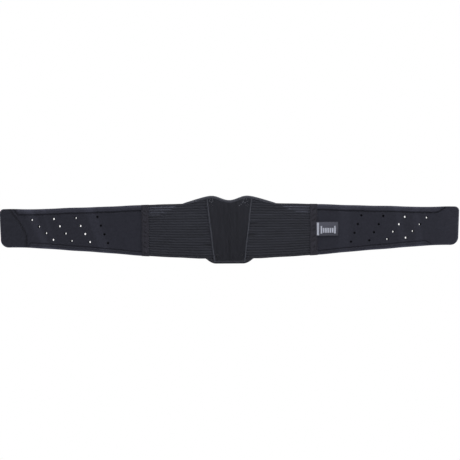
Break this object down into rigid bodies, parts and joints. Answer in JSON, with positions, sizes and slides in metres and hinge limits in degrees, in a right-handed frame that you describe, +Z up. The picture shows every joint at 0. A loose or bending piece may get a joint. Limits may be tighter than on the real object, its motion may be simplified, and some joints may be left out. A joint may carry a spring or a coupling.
{
  "type": "lumbar support belt",
  "caption": "Wide waist support belt laid flat: ribbed mesh back pad with waved top edge and stays, see-through ribbed elastic sides, perforated tapering wings, closing tab and blank badge.",
  "frame": {"origin": "middle of the lumbar pad's body-side face, on the belt's middle plane", "axes": "+X along the belt to the side with the badge (picture right), +Z up along the wearer's spine, +Y from the outer face towards the wearer, so the outer face looks along -Y"},
  "size_m": [1.1488, 0.0124, 0.1685],
  "materials": {
    "wing_cover": "brushed loop knit, matt",
    "foam": "open-cell foam, matt",
    "lining": "soft brushed lining, matt",
    "centre_mesh": "ribbed spacer mesh, matt",
    "elastic": "ribbed open-ladder elastic, satin",
    "seam_strip": "woven tape with stitching, satin",
    "edge_tape": "woven edge tape, satin",
    "piping": "corded piping, satin",
    "stay": "matt nylon",
    "grip_patch": "fine ribbed fabric, matt",
    "hook_pad": "hook tape, satin",
    "badge": "soft satin PVC label",
    "badge_bar": "silvery satin bar"
  },
  "bodies": {
    "back": {"back_pad_lining": "lining", "back_pad_foam": "foam", "lumbar_cushion": "foam", "left_stay": "stay", "right_stay": "stay", "left_stay_pocket": "edge_tape", "right_stay_pocket": "edge_tape", "centre_mesh_panel": "centre_mesh", "left_piping": "piping", "right_piping": "piping", "top_binding": "edge_tape", "bottom_binding": "edge_tape"},
    "left_side": {"left_pad_wing_foam": "foam", "left_pad_wing_lining": "lining", "left_elastic_panel": "elastic", "left_top_binding": "edge_tape", "left_bottom_binding": "edge_tape"},
    "left_seam": {"left_seam_strip": "seam_strip", "left_seam_fold": "lining", "left_seam_tape": "edge_tape"},
    "left_wing_inner": {"left_wing_cover_inner": "wing_cover", "left_wing_foam_inner": "foam", "left_wing_lining_inner": "lining"},
    "left_wing_outer": {"left_wing_cover_outer": "wing_cover", "left_wing_foam_outer": "foam", "left_wing_lining_outer": "lining"},
    "right_side": {"right_pad_wing_foam": "foam", "right_pad_wing_lining": "lining", "right_elastic_panel": "elastic", "right_top_binding": "edge_tape", "right_bottom_binding": "edge_tape"},
    "right_seam": {"right_seam_strip": "seam_strip", "right_seam_fold": "lining", "right_seam_tape": "edge_tape"},
    "right_wing_inner": {"right_wing_cover_inner": "wing_cover", "right_wing_foam_inner": "foam", "right_wing_lining_inner": "lining", "badge": "badge", "badge_bar": "badge_bar"},
    "right_wing_outer": {"right_wing_cover_outer": "wing_cover", "right_wing_foam_outer": "foam", "right_wing_lining_outer": "lining"},
    "left_tab": {"left_tab_web": "wing_cover", "left_tab_grip": "grip_patch", "left_hook_pad": "hook_pad"}
  },
  "joints": [
    {"name": "left_wrap", "type": "hinge", "parent": "back", "child": "left_side", "pos_m": [-0.0465, 0, 0], "axis": [0, 0, -1], "range_deg": [0, 35]},
    {"name": "left_stretch", "type": "slide", "parent": "left_side", "child": "left_seam", "axis": [-1, 0, 0], "range_m": [0, 0.04], "stiffness_N_per_m": 150, "deforming": ["left_elastic_panel"]},
    {"name": "left_hip_fold", "type": "hinge", "parent": "left_seam", "child": "left_wing_inner", "pos_m": [-0.21, 0, 0], "axis": [0, 0, -1], "range_deg": [0, 70]},
    {"name": "left_front_bend", "type": "hinge", "parent": "left_wing_inner", "child": "left_wing_outer", "pos_m": [-0.34, 0, 0], "axis": [0, 0, -1], "range_deg": [0, 75]},
    {"name": "right_wrap", "type": "hinge", "parent": "back", "child": "right_side", "pos_m": [0.0465, 0, 0], "axis": [0, 0, 1], "range_deg": [0, 30]},
    {"name": "right_stretch", "type": "slide", "parent": "right_side", "child": "right_seam", "axis": [1, 0, 0], "range_m": [0, 0.04], "stiffness_N_per_m": 150, "deforming": ["right_elastic_panel"]},
    {"name": "right_hip_fold", "type": "hinge", "parent": "right_seam", "child": "right_wing_inner", "pos_m": [0.21, 0, 0], "axis": [0, 0, 1], "range_deg": [0, 75]},
    {"name": "right_front_bend", "type": "hinge", "parent": "right_wing_inner", "child": "right_wing_outer", "pos_m": [0.34, 0, 0], "axis": [0, 0, 1], "range_deg": [0, 75]},
    {"name": "left_tab_peel", "type": "hinge", "parent": "left_wing_outer", "child": "left_tab", "pos_m": [-0.5, -0.0088, 0], "axis": [0, 0, 1], "range_deg": [0, 60]}
  ],
  "couplings": [
    {"joint": "left_hip_fold", "follows": "left_wrap", "ratio": 2},
    {"joint": "left_front_bend", "follows": "left_wrap", "ratio": 2.1429},
    {"joint": "right_hip_fold", "follows": "right_wrap", "ratio": 2.5},
    {"joint": "right_front_bend", "follows": "right_wrap", "ratio": 2.5},
    {"joint": "left_stretch", "follows": "right_stretch", "ratio": 1}
  ]
}
